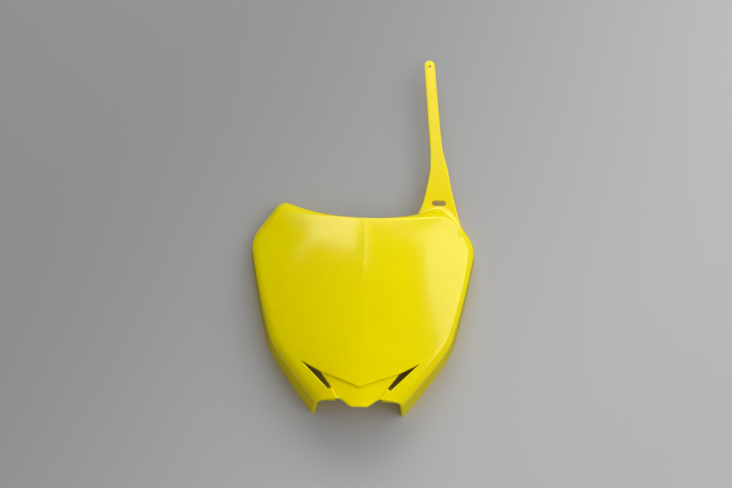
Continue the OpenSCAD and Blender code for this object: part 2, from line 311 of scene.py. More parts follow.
    def face_z(self, x: float, y: float) -> float:
        """Returns the height of the crowned face, with its softened centre crease."""
        across = math.hypot(x, self.crease_soft) - self.crease_soft
        return self.crest_z(y) - self.crease_slope * across - self.crown(y) * x * x

    @property
    def shift_y(self) -> float:
        """How far the shared frame's middle is from the open lower end."""
        return (self.tongue_out - self.strap_top_y) / 2

    def to_frame(self, p: Sequence[float]) -> Vector:
        """Returns a plate point in metres in the shared frame."""
        return Vector((p[0], p[1] + self.shift_y, p[2])) * MM


@dataclass(frozen=True)
class Station:
    """One place on the plate's edge, with the crease, the rim and the fall between them."""

    crease: Vector
    rim: Vector
    fall: float
    rim_z: float


@dataclass(frozen=True)
class Corner:
    """An upper corner in plan, with the directions down its side and along its top."""

    at: Vector
    side: Vector
    top: Vector
    cut: float

    def rounded(self, p: Vector, way: float) -> Vector:
        """Rounds the corner.

        Args:
            p: The point on the sharp outline.
            way: -1 for a point on the side, 1 for one on the top.

        Returns:
            The point, moved onto the rounded corner when it is near it.
        """
        d = (p - self.at).length / self.cut
        if d >= 1:
            return p
        a, b = self.at + self.side * self.cut, self.at + self.top * self.cut
        t = 0.5 + 0.5 * way * d
        return a * (1 - t)**2 + self.at * (2 * t * (1 - t)) + b * t * t


@dataclass
class EdgeRibs:
    """The bevel and the wall round the face, as ribs from the crease down to the rim.

    Toward the open lower end the two edges of the bevel run together into one large rounding.
    end_depth and mid_depth are the shares of the wall's thickness that the inner skin moves in at
    the bevel's ends and at its middle. round_share and foot_share are the greatest shares of a
    short side that a rounding takes, and probe is the length that gives the face's direction.
    """

    form: PlateForm
    side_steps: int = 96
    top_steps: int = 44
    face_corner: float = 5.4
    strap_corner: float = 13.0
    crease_round: float = 2.6
    low_round: float = 2.0
    foot_round: float = 6.0
    round_from_y: float = 40.0
    round_to_y: float = 150.0
    crease_steps: int = 6
    bevel_steps: int = 5
    low_steps: int = 5
    wall_steps: int = 5
    end_depth: float = 0.35
    mid_depth: float = 0.7
    least_cross: float = 0.5
    round_share: float = 0.36
    foot_share: float = 0.4
    probe: float = 0.2

    def corner(self, at: Vector, cut: float, half_w: Curve, top_y: Curve) -> Corner:
        """Finds a corner's two directions.

        Args:
            at: Where the side and the top meet.
            cut: Length of the rounding along each of them.
            half_w: The side's half width by height.
            top_y: The top's height by distance from the centre.

        Returns:
            The corner.
        """
        side = Vector((half_w(at.y - cut), at.y - cut)) - at
        top = Vector((at.x - cut, top_y(at.x - cut))) - at
        return Corner(at, side.normalized(), top.normalized(), cut)

    def half(self, strap_side: bool = True) -> list[Station]:
        """Returns the stations from one foot up the side and in to the top's centre."""
        f = self.form
        rim_at = Vector((f.top_corner_w / 2, f.top_corner_y))
        crease_at = Vector((f.crease_corner_x, f.crease_corner_y))
        fine = self.strap_corner if strap_side else self.face_corner
        rim_corner = self.corner(rim_at, f.corner_cut, f.half_w, f.top_y)
        crease_corner = self.corner(crease_at, fine, f.crease_x, f.crease_y)
        falls = ((0.0, f.bevel_foot_h), (f.wide_y, f.bevel_wide_h),
                 (f.crease_corner_y, f.bevel_top_h))
        out = []
        for i in range(self.side_steps):
            y = f.crease_corner_y * i / self.side_steps
            share = clamp01((y - f.wide_y) / (f.crease_corner_y - f.wide_y))
            rim_y = y + f.bevel_top_w * smooth(share)
            crease = crease_corner.rounded(Vector((f.crease_x(y), y)), -1)
            rim = rim_corner.rounded(Vector((f.half_w(rim_y), rim_y)), -1)
            out.append(Station(crease, rim, through(falls, y), -f.below_rim))
        mid_rim_z = f.crest_top_z - f.bevel_mid_h - f.flange_h
        for j in range(self.top_steps + 1):
            v = 1 - j / self.top_steps
            x, rim_x = crease_at.x * v, rim_at.x * v
            crease = crease_corner.rounded(Vector((x, f.crease_y(x))), 1)
            rim = rim_corner.rounded(Vector((rim_x, f.top_y(rim_x))), 1)
            out.append(Station(crease, rim, lerp(f.bevel_mid_h, f.bevel_top_h, v),
                               lerp(-f.below_rim, mid_rim_z, smooth(1 - v))))
        return out

    def low_line(self, s: Station) -> Vector:
        """Returns where the bevel meets the wall, in plan."""
        z = self.form.face_z(s.crease.x, s.crease.y)
        out = (s.rim - s.crease).normalized()
        return s.rim - out * self.form.lean(z - s.rim_z, s.fall)

    def on_face(self, p: Vector, t: float) -> Vector:
        """Returns a plan point on the face, t inside its outer skin."""
        return lifted(p, self.form.face_z(p.x, p.y) - t)

    def down(self, turn: Vector, rim: Vector) -> list[Vector]:
        """Returns the wall's points below its rounded edge, the last one on the rim."""
        return [turn.lerp(rim, i / self.wall_steps) for i in range(1, self.wall_steps + 1)]

    def rib(self, s: Station, along: Vector, t: float) -> list[Vector]:
        """Draws one rib.

        Args:
            s: The station.
            along: Direction of the rim at the station.
            t: Depth inside the outer face.

        Returns:
            Points from just inside the crease down to the rim.
        """
        out = (s.rim - s.crease).normalized()
        z = self.form.face_z(s.crease.x, s.crease.y)
        low = self.low_line(s)
        width = (low - s.crease).length
        bulge = self.form.bevel_bow * width - self.mid_depth * t
        side_t = t / max(self.least_cross, abs(out.x * along.y - out.y * along.x))
        corner = lifted(s.crease - out * (self.end_depth * t), z - t)
        mid = lifted(s.crease.lerp(low, 0.5) + out * bulge, z - s.fall / 2 + bulge)
        foot = lifted(low - out * side_t, z - s.fall - self.end_depth * t)
        end = lifted(s.rim - out * side_t, s.rim_z)
        rim = foot.lerp(end, (foot.z - max(s.rim_z, 0.0)) / (foot.z - s.rim_z))
        pull = mid * 2 - (corner + foot) / 2
        length, wall = (foot - corner).length, rim - foot

        def bevel(u: float) -> Vector:
            """Returns the point a share u down the bevel."""
            return corner * (1 - u)**2 + pull * (2 * u * (1 - u)) + foot * u * u

        def bevel_way(u: float) -> Vector:
            """Returns the bevel's direction a share u down it."""
            return (pull - corner) * (2 * (1 - u)) + (foot - pull) * (2 * u)

        run = self.round_to_y - self.round_from_y
        nearness = 1 - smooth((s.crease.y - self.round_from_y) / run)
        back = lerp(min(self.crease_round, self.round_share * width), self.foot_round, nearness)
        inner = s.crease - out * back
        start = self.on_face(inner, t)
        start_way = start - self.on_face(inner - out * self.probe, t)
        u0 = min(self.round_share, self.crease_round / length)
        drop = min(self.low_round, self.round_share * length, self.round_share * wall.length)
        u1 = 1 - drop / length
        turn = foot + wall.normalized() * drop
        two = blend(start, start_way, bevel(u0), bevel_way(u0), self.crease_steps)
        two += [bevel(lerp(u0, u1, i / self.bevel_steps)) for i in range(1, self.bevel_steps + 1)]
        two += blend(bevel(u1), bevel_way(u1), turn, wall, self.low_steps) + self.down(turn, rim)
        turn = foot + wall.normalized() * min(self.foot_round, self.foot_share * wall.length)
        steps = self.crease_steps + self.bevel_steps + self.low_steps
        one = blend(start, start_way, turn, wall, steps) + self.down(turn, rim)
        return [start] + [p.lerp(q, nearness) for p, q in zip(two, one)]

    def ring(self, t: float) -> list[list[Point]]:
        """Returns all ribs t inside the outer face, from the right foot round to the left one."""
        sides = []
        for strap_side in (True, False):
            half = self.half(strap_side)
            ribs = []
            for i, s in enumerate(half):
                ahead, behind = half[min(len(half) - 1, i + 1)], half[max(0, i - 1)]
                along = (ahead.rim - behind.rim).normalized()
                ribs.append([tuple(p) for p in self.rib(s, along, t)])
            sides.append(ribs)
        return sides[0] + [[mirror(p) for p in rib] for rib in reversed(sides[1][:-1])]


# Plans and sheets

def spaced(points: Sequence[Plan], step: float, closed: bool = False) -> list[Plan]:
    """Adds points along a line so that none are further apart than step.

    Args:
        points: The line's corners in plan.
        step: The greatest distance.
        closed: Whether the last corner joins the first.

    Returns:
        The corners with the added points between them.
    """
    out = []
    last = len(points) if closed else len(points) - 1
    for i in range(last):
        a, b = points[i], points[(i + 1) % len(points)]
        n = max(1, math.ceil(math.dist(a, b) / step))
        out += [(lerp(a[0], b[0], k / n), lerp(a[1], b[1], k / n)) for k in range(n)]
    return out if closed else out + [points[-1]]


def arc(centre: Plan, r: float, start: float, end: float, steps: int) -> list[Plan]:
    """Returns points on an arc, with its angles in degrees."""
    turn = [math.radians(lerp(start, end, i / steps)) for i in range(steps + 1)]
    return [(centre[0] + r * math.cos(a), centre[1] + r * math.sin(a)) for a in turn]


def inside(poly: Sequence[Plan], pts: np.ndarray) -> np.ndarray:
    """Tells which points lie inside a closed outline.

    Args:
        poly: The outline's corners.
        pts: Points in plan, one row each.

    Returns:
        One truth value a point.
    """
    a = np.array(poly)
    b = np.roll(a, -1, axis=0)
    x, y = pts[:, 0:1], pts[:, 1:2]
    cross = (a[:, 1] > y) != (b[:, 1] > y)
    rise = np.where(b[:, 1] == a[:, 1], 1.0, b[:, 1] - a[:, 1])
    at = a[:, 0] + (y - a[:, 1]) * (b[:, 0] - a[:, 0]) / rise
    return (cross & (x < at)).sum(axis=1) % 2 == 1


def gap_to(lines: Sequence[Sequence[Plan]], pts: np.ndarray, closed: bool = True) -> np.ndarray:
    """Returns each point's distance to the nearest of the lines."""
    best = np.full(len(pts), np.inf)
    for line in lines:
        a = np.array(line)
        for p, q in zip(a if closed else a[:-1], np.roll(a, -1, axis=0)):
            d = q - p
            t = np.clip(((pts - p) @ d) / max(1e-12, d @ d), 0, 1)
            best = np.minimum(best, np.hypot(*(pts - p - t[:, None] * d).T))
    return best


def beside(line: Sequence[Plan], off: float, closed: bool = True) -> list[Plan]:
    """Draws a line's neighbour on its left.

    Args:
        line: The line's points.
        off: Distance from it.
        closed: Whether the last point joins the first.

    Returns:
        The points at that distance, without those that come nearer to another part of the line.
    """
    a = np.array(line)
    ahead, behind = np.roll(a, -1, axis=0), np.roll(a, 1, axis=0)
    if not closed:
        ahead[-1], behind[0] = a[-1], a[0]
    way = ahead - behind
    way /= np.linalg.norm(way, axis=1)[:, None]
    pts = a + off * np.column_stack((-way[:, 1], way[:, 0]))
    return [tuple(p) for p in pts[gap_to([line], pts, closed) > 0.9 * off]]


def eased(gap: float, r: float) -> float:
    """Returns how far an edge of radius r has fallen at a distance gap from its side."""
    return 0.0 if gap >= r else r - math.sqrt(r * r - (r - gap)**2)


def skins(points: Sequence[Plan], gaps: np.ndarray, height: HeightOf, t: float, front: float,
          back: float) -> tuple[list[Point], list[Point]]:
    """Lays a wall's two skins, with its cut edges rounded.

    Args:
        points: The wall's points in plan.
        gaps: Their distances from the cut edges.
        height: The outer skin's height by place.
        t: Thickness.
        front: Radius of the cut edges on the outer skin.
        back: Radius on the inner one.

    Returns:
        The outer skin's points and the inner one's.
    """
    outer, inner = [], []
    for (x, y), gap in zip(points, gaps):
        top = height(x, y)
        outer.append((x, y, top - eased(gap, front)))
        inner.append((x, y, top - t + eased(gap, back)))
    return outer, inner


@dataclass
class PlanMesh:
    """A region in plan, cut to triangles that follow its outlines."""

    lines: list[list[Plan]]
    keep: Callable[[np.ndarray], np.ndarray]
    xs: Sequence[float]
    ys: Sequence[float]
    extra: list[Plan]
    clear: float = 1.2
    extra_clear: float = 0.05
    weld: float = 1e-6
    least_area: float = 1e-7
    points: list[Plan] = field(default_factory=list)
    faces: list[tuple[int, int, int]] = field(default_factory=list)
    origin: dict[int, int] = field(default_factory=dict)

    def build(self) -> "PlanMesh":
        """Cuts the region, fills in its points, faces and outline indices, and returns it."""
        grid = np.array([(x, y) for y in self.ys for x in self.xs])
        grid = grid[self.keep(grid)]
        grid = grid[gap_to(self.lines, grid) > self.clear]
        more = np.array(self.extra)
        more = more[self.keep(more) & (gap_to(self.lines, more) > self.extra_clear)]
        coords, edges = [], []
        for line in self.lines:
            first = len(coords)
            coords += [Vector(p) for p in line]
            edges += [(first + i, first + (i + 1) % len(line)) for i in range(len(line))]
        coords += [Vector(p) for p in (*grid, *more)]
        verts, _, faces, made_of, _, _ = delaunay_2d_cdt(coords, edges, [], 0, self.weld)
        tri = np.array([f[:3] for f in faces])
        pos = np.array([(v.x, v.y) for v in verts])
        a, b, c = pos[tri[:, 0]], pos[tri[:, 1]], pos[tri[:, 2]]
        area = ((b[:, 0] - a[:, 0]) * (c[:, 1] - a[:, 1])
                - (b[:, 1] - a[:, 1]) * (c[:, 0] - a[:, 0]))
        good = self.keep((a + b + c) / 3) & (np.abs(area) > self.least_area)
        tri, area = tri[good], area[good]
        tri[area < 0] = tri[area < 0][:, ::-1]
        used = sorted(set(tri.ravel().tolist()))
        new = {v: i for i, v in enumerate(used)}
        self.points = [tuple(pos[v]) for v in used]
        self.faces = [tuple(new[v] for v in f) for f in tri.tolist()]
        self.origin = {o: new[v] for v in used for o in made_of[v]}
        return self


@dataclass
class Sheet:
    """A moulded wall: an outer and an inner skin, joined round their border."""

    name: str
    form: PlateForm
    outer: list[Point]
    inner: list[Point]
    faces: list[tuple[int, ...]]

    def border(self) -> list[tuple[int, int]]:
        """Returns the skin's open edges, each in its face's own direction."""
        seen: set[tuple[int, int]] = set()
        for f in self.faces:
            seen |= {(f[i], f[(i + 1) % len(f)]) for i in range(len(f))}
        return [e for e in seen if (e[1], e[0]) not in seen]

    def tree(self) -> BVHTree:
        """Returns the outer skin for looking up its height."""
        return BVHTree.FromPolygons([Vector(p) for p in self.outer], self.faces)

    def build(self) -> bpy.types.Object:
        """Makes the closed mesh and returns its object."""
        n = len(self.outer)
        faces = list(self.faces)
        faces += [tuple(v + n for v in reversed(f)) for f in self.faces]
        faces += [(b, a, a + n, b + n) for a, b in self.border()]
        mesh = bpy.data.meshes.new(self.name)
        mesh.from_pydata([self.form.to_frame(p) for p in self.outer + self.inner], [], faces)
        mesh.validate()
        obj = bpy.data.objects.new(self.name, mesh)
        bpy.context.collection.objects.link(obj)
        LOG.info("%s: %d faces", self.name, len(mesh.polygons))
        return obj

    def round_border(self, obj: bpy.types.Object, radius: float, steps: int,
                     chosen: Callable[[Point], bool]) -> None:
        """Rounds border edges on both skins.

        Args:
            obj: The object that build() made.
            radius: The rounding's radius.
            steps: Spans on it.
            chosen: Tells by its middle whether an outer border edge is rounded.
        """
        wanted = set()
        for a, b in self.border():
            p, q = self.outer[a], self.outer[b]
            if chosen(((p[0] + q[0]) / 2, (p[1] + q[1]) / 2, (p[2] + q[2]) / 2)):
                for skin in (self.outer, self.inner):
                    ends = self.form.to_frame(skin[a]), self.form.to_frame(skin[b])
                    wanted.add(edge_key(*ends))
        pick_only(obj)
        select_edges(obj, lambda p, q: edge_key(p, q) in wanted)
        bpy.ops.object.mode_set(mode="EDIT")
        bpy.ops.mesh.bevel(offset=radius * MM, segments=steps, affect="EDGES", clamp_overlap=True)
        bpy.ops.object.mode_set(mode="OBJECT")


def edge_key(p: Vector, q: Vector) -> frozenset:
    """Returns a key for an edge by the places of its two ends."""
    return frozenset(tuple(round(c, 7) for c in v) for v in (p, q))


def pick_only(obj: bpy.types.Object) -> None:
    """Deselects everything, then selects one object and makes it active."""
    bpy.ops.object.select_all(action="DESELECT")
    obj.select_set(True)
    bpy.context.view_layer.objects.active = obj


def select_edges(obj: bpy.types.Object, chosen: Callable[[Vector, Vector], bool]) -> None:
    """Selects an object's edges by their two ends, and nothing else."""
    bpy.ops.object.mode_set(mode="EDIT")
    bpy.ops.mesh.select_mode(type="EDGE")
    bpy.ops.mesh.select_all(action="DESELECT")
    bpy.ops.object.mode_set(mode="OBJECT")
    verts = obj.data.vertices
    for e in obj.data.edges:
        e.select = chosen(verts[e.vertices[0]].co, verts[e.vertices[1]].co)


def combine(base: bpy.types.Object, tool: bpy.types.Object, how: str) -> None:
    """Adds a closed object to another one, or cuts it out, and removes it.

    Args:
        base: The object that changes.
        tool: The object that is added or cut out.
        how: UNION or DIFFERENCE.
    """
    name = tool.name
    pick_only(base)
    step = base.modifiers.new("combine", "BOOLEAN")
    step.operation = how
    step.solver = "EXACT"
    step.object = tool
    bpy.ops.object.modifier_apply(modifier="combine")
    bpy.data.objects.remove(tool)
    LOG.info("%s of %s and %s: %d faces", how.lower(), base.name, name, len(base.data.polygons))


@dataclass(frozen=True)
class LowerCut:
    """Outlines of the chevron step, the tongue and the two vents.

    under, behind, beyond_step, root_out and meet_out say how far the tongue's sheet runs on where
    the face hides it. pad, least_z, foot_y and foot_x bound the shell's border at these cuts.
    """

    step_y: float = 10.3
    step_slope: float = 0.46
    step_z: float = 1.8
    tongue_out: float = 8.59
    tongue_tip_w: float = 12.0
    tongue_root_w: float = 40.0
    tongue_steps: int = 14
    step_half_w: float = 38.0
    vent_tip: Plan = (57.5, 40.5)
    vent_end: Plan = (29.5, 12.0)
    vent_end_r: float = 1.9
    vent_steps: int = 10
    hidden_vent_steps: int = 8
    under: float = 2.2
    behind: float = 0.5
    beyond_step: float = 2.6
    root_out: float = 0.3
    meet_out: float = 0.1
    pad: float = 1.0
    least_z: float = 30.0
    foot_y: float = 0.5
    foot_x: float = 41.0

    @property
    def vent_top(self) -> Plan:
        """Where the chevron step runs into a vent."""
        return (self.step_half_w, self.step_y + self.step_slope * self.step_half_w)

    @property
    def vent_turn(self) -> float:
        """Angle of the line across the vent's end, in degrees."""
        return math.degrees(math.atan2(self.vent_end[0] - self.vent_top[0],
                                       self.vent_top[1] - self.vent_end[1]))

    def near(self, p: Point) -> bool:
        """Tells whether a place on the shell's border is at the vents, chevron or notches."""
        wide = abs(p[0]) >= self.vent_tip[0] + self.pad
        high = p[1] >= self.vent_tip[1] + self.pad
        on_foot = p[1] < self.foot_y and abs(p[0]) > self.foot_x
        return p[2] > self.least_z and not (wide or high or on_foot)

    def face_edge(self) -> list[Plan]:
        """Returns the face's lower edge from the left notch to the right one."""
        half = [(self.tongue_root_w / 2, 0.0)]
        half += arc(self.vent_end, self.vent_end_r, -180, self.vent_turn, self.vent_steps)
        half += [self.vent_tip, self.vent_top]
        return [(-x, y) for x, y in half] + [(0.0, self.step_y)] + half[::-1]

    def tongue_side(self) -> list[Plan]:
        """Returns the tongue's right side, from its root down to its flat end."""
        shares = [i / self.tongue_steps for i in range(self.tongue_steps + 1)]
        return [(lerp(self.tongue_root_w, self.tongue_tip_w, s) / 2, -self.tongue_out * smooth(s))
                for s in shares]

    def sheet_outline(self) -> list[Plan]:
        """Returns the tongue's outline, with what runs on hidden under the face."""
        side = self.tongue_side()[::-1]
        root, end = side[-1], (self.vent_end[0] - self.vent_end_r, self.vent_end[1])
        way = Vector((end[0] - root[0], end[1] - root[1])).normalized()
        off = Vector((way.y, -way.x)) * self.under
        low = (root[0] + off.x + way.x, self.behind)
        meet = (self.vent_end[0] + self.meet_out, self.vent_end[1] - self.vent_end_r)
        vent = arc(self.vent_end, self.vent_end_r, -90, self.vent_turn - 180,
                   self.hidden_vent_steps)
        half = side + [(root[0] + self.root_out, self.behind), low, meet] + vent[1:]
        half += [self.vent_top, (self.vent_top[0], self.vent_top[1] + self.beyond_step),
                 (0.0, self.step_y + self.beyond_step)]
        return half + [(-x, y) for x, y in reversed(half[:-1])]


@dataclass
class Shell:
    """The crowned face with its bevel and walls, cut for the tongue and the vents."""

    form: PlateForm
    cut: LowerCut
    crease_xs: tuple[float, ...] = (0.0, 0.8, 1.7, 2.8, 4.2)
    step: float = 2.8
    across: int = 41
    up: int = 83
    clear: float = 1.4
    edge_step: float = 1.2
    edge_round: float = 1.0
    back_round: float = 0.5

    def face_outline(self, ring: list[list[Point]]) -> list[Plan]:
        """Returns the face's outline: the ribs' starts, then the cut lower edge."""
        tops = [(rib[0][0], rib[0][1]) for rib in ring]
        lower = spaced([tops[-1]] + self.cut.face_edge() + [tops[0]], self.edge_step)
        return tops + lower[1:-1]

    def grid_xs(self) -> list[float]:
        """Returns the face's grid lines across, which lie closer at the centre crease."""
        side = range(1, self.across + 1)
        right = list(self.crease_xs) + [self.crease_xs[-1] + self.step * i for i in side]
        return [-x for x in reversed(right[1:])] + right

    def sheet(self) -> Sheet:
        """Returns the two skins of the face, bevel and walls."""
        f = self.form
        ribs = EdgeRibs(f)
        outer_ring, inner_ring = ribs.ring(0.0), ribs.ring(f.wall_t)
        outline = self.face_outline(outer_ring)
        ys = [self.step * i for i in range(1, self.up + 1)]
        cut = spaced(self.cut.face_edge(), self.edge_step)
        extra = [p for share in ROUND_AT for p in beside(cut, share * self.edge_round, False)]
        plan = PlanMesh([outline], lambda p: inside(outline, p), self.grid_xs(), ys, extra,
                        self.clear).build()
        gaps = gap_to([cut], np.array(plan.points), False)
        outer, inner = skins(plan.points, gaps, f.face_z, f.wall_t, self.edge_round,
                             self.back_round)
        faces: list[tuple[int, ...]] = list(plan.faces)
        ids = []
        for s, rib in enumerate(outer_ring):
            start = len(outer)
            outer += rib[1:]
            inner += inner_ring[s][1:]
            ids.append([plan.origin[s]] + list(range(start, start + len(rib) - 1)))
        for one, two in zip(ids, ids[1:]):
            faces += [(one[k], one[k + 1], two[k + 1], two[k]) for k in range(len(one) - 1)]
        return Sheet("shell", f, outer, inner, faces)


@dataclass
class Tongue:
    """The recessed sheet under the chevron step, which reaches past the open lower end."""

    form: PlateForm
    cut: LowerCut
    step: float = 2.4
    across: int = 18
    down: int = 4
    up: int = 13
    edge_step: float = 1.2
    edge_round: float = 0.9
    back_round: float = 0.5

    def height(self, x: float, y: float) -> float:
        """Returns the height of the tongue's outer skin."""
        return self.form.face_z(x, y) - self.cut.step_z

    def sheet(self) -> Sheet:
        """Returns the tongue's two skins."""
        line = spaced(self.cut.sheet_outline(), self.edge_step, closed=True)
        xs = [self.step * i for i in range(-self.across, self.across + 1)]
        ys = [self.step * i for i in range(-self.down, self.up + 1)]
        extra = [p for share in ROUND_AT for p in beside(line, share * self.edge_round)]
        plan = PlanMesh([line], lambda p: inside(line, p), xs, ys, extra).build()
        gaps = gap_to([line], np.array(plan.points))
        outer, inner = skins(plan.points, gaps, self.height, self.form.wall_t, self.edge_round,
                             self.back_round)
        return Sheet("tongue", self.form, outer, inner, list(plan.faces))


@dataclass
class Strap:
    """The flat strap that ties the board to the handlebar, with its slot and its hole.

    At its root the strap climbs the bevel: by a ramp from the face's edge, and beside it by a
    fillet that grows up from the gusset, where the strap's lower end meets the bevel. Where the
    shell is higher, the strap sinks into its wall within sink_run.
    """

    form: PlateForm
    ribs: EdgeRibs
    top_y: float = 407.98
    width: float = 11.4
    waist_w: float = 12.6
    top_x: float = 66.6
    waist_y: float = 302.0
    waist_x: float = 74.0
    root_w: float = 33.0
    join_w: float = 43.0
    neck_w: float = 20.4
    neck_up: float = 34.4
    z: float = 19.0
    t: float = 2.4
    hole_d: float = 3.0
    hole_in: float = 7.8
    slot_l: float = 14.4
    slot_w: float = 6.6
    slot_x: float = 77.6
    slot_y: float = 230.6
    join_below: float = 16.0
    root_below: float = 26.0
    join_shift: float = 1.3
    gusset_y: float = 191.7
    root_inside: float = 3.4
    free_y: float = 150.0
    free_x: float = 60.0
    ramp_run: float = 15.0
    ramp_slope: float = 0.9
    ramp_start: float = 1.0
    ramp_fade: float = 26.0
    ramp_end_x: float = 90.0
    ramp_end_run: float = 9.0
    dive: float = 0.12
    fillet: float = 5.0
    gusset_fillet: float = 0.6
    fillet_start: float = 3.0
    fillet_run: float = 16.0
    sink_run: float = 4.0
    hidden_t: float = 1.7
    back_fillet: float = 1.2
    edge_round: float = 0.85
    hole_round: float = 0.35
    side_steps: int = 70
    tip_steps: int = 20
    slot_steps: int = 14
    outline_step: float = 1.8
    free_step: float = 1.6
    slot_step: float = 1.2
    grid_x: float = 20.0
    grid_y: float = 180.0
    grid_step: float = 1.9
    across: int = 52
    up: int = 122
    ray_z: float = 200.0
    no_shell_z: float = -20.0

    @property
    def tip_y(self) -> float:
        """Height of the centre of the strap's round end."""
        return self.top_y - self.width / 2

    def side(self, s: float, y: float) -> Plan:
        """Returns the strap's edge at height y, on its right for s = 1 and its left for -1."""
        join_y, neck_y = self.slot_y - self.join_below, self.slot_y + self.neck_up
        mid = ((join_y, self.slot_x - self.join_shift), (self.slot_y, self.slot_x),
               (neck_y, self.slot_x), (self.waist_y, self.waist_x), (self.tip_y, self.top_x))
        wide = ((join_y, self.join_w), (self.slot_y, self.root_w), (neck_y, self.neck_w),
                (self.waist_y, self.waist_w), (self.tip_y, self.width))
        return (through(mid, y) + s * through(wide, y) / 2, y)

    def gusset(self) -> Plan:
        """Returns where the bevel falls to the strap's height at the strap's lower end."""
        stations = self.ribs.half()[:self.ribs.side_steps]
        s = min(stations, key=lambda station: abs(station.crease.y - self.gusset_y))
        z = self.form.face_z(s.crease.x, s.crease.y)
        p = s.crease.lerp(self.ribs.low_line(s), clamp01((z - self.z) / s.fall))
        return (p.x, p.y)

    def outline(self) -> list[Plan]:
        """Returns the strap's outline, down to its hidden root under the bevel."""
        root_y, n = self.slot_y - self.root_below, self.side_steps
        heights = [lerp(root_y, self.tip_y, i / n) for i in range(n)]
        tip = arc((self.top_x, self.tip_y), self.width / 2, 0, 180, self.tip_steps)
        return ([self.gusset()] + [self.side(1, y) for y in heights] + tip
                + [self.side(-1, y) for y in reversed(heights)])

    def inside_line(self) -> list[Plan]:
        """Returns the plate's inside, which the strap leaves free."""
        half = [s for s in self.ribs.half() if s.crease.y > self.free_y]
        ends = [s.crease - (s.rim - s.crease).normalized() * self.root_inside for s in half]
        return [(p.x, p.y) for p in ends] + [(0.0, self.free_y), (self.free_x, self.free_y)]

    def slot_line(self) -> list[Plan]:
        """Returns the slot's outline."""
        run, r = (self.slot_l - self.slot_w) / 2, self.slot_w / 2
        return (arc((self.slot_x + run, self.slot_y), r, -90, 90, self.slot_steps)
                + arc((self.slot_x - run, self.slot_y), r, 90, 270, self.slot_steps))

    def hole_line(self) -> list[Plan]:
        """Returns the small hole's outline."""
        centre = (self.top_x, self.top_y - self.hole_in)
        return arc(centre, self.hole_d / 2, 0, 360, self.tip_steps)[:-1]

    def ramp(self, x: float, y: float, edge: Sequence[Station], crease: np.ndarray) -> float:
        """Draws the root's even fall from the face's edge down to the strap.

        Args:
            x: Place across the plate.
            y: Place up the plate.
            edge: The plate's stations.
            crease: The face's edge in plan at the stations, one point a row.

        Returns:
            The ramp's height there, which inside the face's edge dives into the shell's wall.
        """
        gaps = np.hypot(crease[:, 0] - x, crease[:, 1] - y)
        i, d = int(gaps.argmin()), float(gaps.min())
        near = edge[i]
        way = crease[min(len(crease) - 1, i + 1)] - crease[max(0, i - 1)]
        if (x - near.crease.x) * way[1] < (y - near.crease.y) * way[0]:
            return self.form.face_z(x, y) - self.dive * d * d
        top = self.form.face_z(near.crease.x, near.crease.y)
        slope = -self.ramp_slope * self.ramp_run
        return hermite(top, slope, self.z, 0.0, min(1.0, d / self.ramp_run))

    def root_z(self, x: float, y: float, under: float, ramp: float) -> float:
        """Blends the strap up the bevel.

        Args:
            x: Place across the plate.
            y: Place up the plate.
            under: Height of the shell's outer skin there.
            ramp: Height of the ramp there.

        Returns:
            The height of the strap's outer skin, which is a little under the shell's where the
            strap is hidden in its wall.
        """
        rise = smooth((y - self.gusset_y - self.fillet_start) / self.fillet_run)
        sunk = under - smooth((under - self.z) / self.sink_run)
        plain = soft_max(sunk, self.z, lerp(self.gusset_fillet, self.fillet, rise))
        fade = smooth((x - self.side(-1, y)[0] - self.ramp_start) / self.ramp_fade)
        fade *= smooth((self.ramp_end_x - x) / self.ramp_end_run)
        return max(plain, lerp(plain, ramp, fade))

    def sheet(self, shell: BVHTree) -> Sheet:
        """Lays the strap at its height and blends it up the bevel.

        Args:
            shell: The shell's outer skin.

        Returns:
            The strap's two skins.
        """
        line = spaced(self.outline(), self.outline_step, closed=True)
        free = spaced(self.inside_line(), self.free_step, closed=True)
        slot = spaced(self.slot_line(), self.slot_step, closed=True)
        hole = self.hole_line()

        def keep(p: np.ndarray) -> np.ndarray:
            """Tells which points are on the strap."""
            return inside(line, p) & ~inside(free, p) & ~inside(slot, p) & ~inside(hole, p)

        xs = [self.grid_x + self.grid_step * i for i in range(self.across)]
        ys = [self.grid_y + self.grid_step * i for i in range(self.up)]
        rims = [(line, self.edge_round), (slot[::-1], self.hole_round),
                (hole[::-1], self.hole_round)]
        extra = [p for rim, r in rims for share in ROUND_AT for p in beside(rim, share * r)]
        plan = PlanMesh([line, free, slot, hole], keep, xs, ys, extra).build()
        falls = np.zeros(len(plan.points))
        for rim, r in rims:
            gaps = gap_to([rim], np.array(plan.points))
            falls = np.maximum(falls, [eased(gap, r) for gap in gaps])
        edge = self.ribs.half()
        crease = np.array([(s.crease.x, s.crease.y) for s in edge])
        outer, inner = [], []
        for (x, y), fall in zip(plan.points, falls):
            hit = shell.ray_cast(Vector((x, y, self.ray_z)), Vector((0, 0, -1)))[0]
            under = hit.z if hit else self.no_shell_z
            top = self.root_z(x, y, under, self.ramp(x, y, edge, crease))
            back = soft_max(min(under, top) - self.hidden_t, self.z - self.t, self.back_fillet)
            outer.append((x, y, top - fall))
            inner.append((x, y, back + fall))
        return Sheet("strap", self.form, outer, inner, list(plan.faces))


